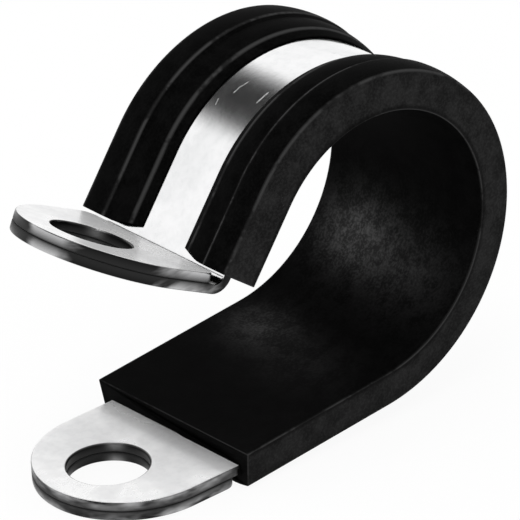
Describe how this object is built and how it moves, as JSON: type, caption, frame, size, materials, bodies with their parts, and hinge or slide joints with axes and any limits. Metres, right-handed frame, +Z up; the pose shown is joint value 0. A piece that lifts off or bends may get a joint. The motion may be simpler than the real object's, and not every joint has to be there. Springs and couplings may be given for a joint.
{
  "type": "p clip",
  "caption": "Rubber-lined steel P clip that holds a cable or pipe in its loop and closes with one screw through its two round-ended tabs; shown sprung open.",
  "frame": {"origin": "centre of the lower screw hole, on the underside of the lower tab plate", "axes": "+Z up through the lower screw hole, +X from the lower tab towards the loop, +Y along the loop's axis"},
  "size_m": [0.04, 0.0174, 0.0296],
  "materials": {
    "zinc_steel": "bright zinc plating, smooth, faintly mottled",
    "black_rubber": "extruded EPDM rubber, satin black"
  },
  "bodies": {
    "root": {"steel_strap": "zinc_steel", "lower_tab_plate": "zinc_steel", "upper_tab_plate": "zinc_steel", "rubber_liner": "black_rubber"}
  },
  "joints": []
}
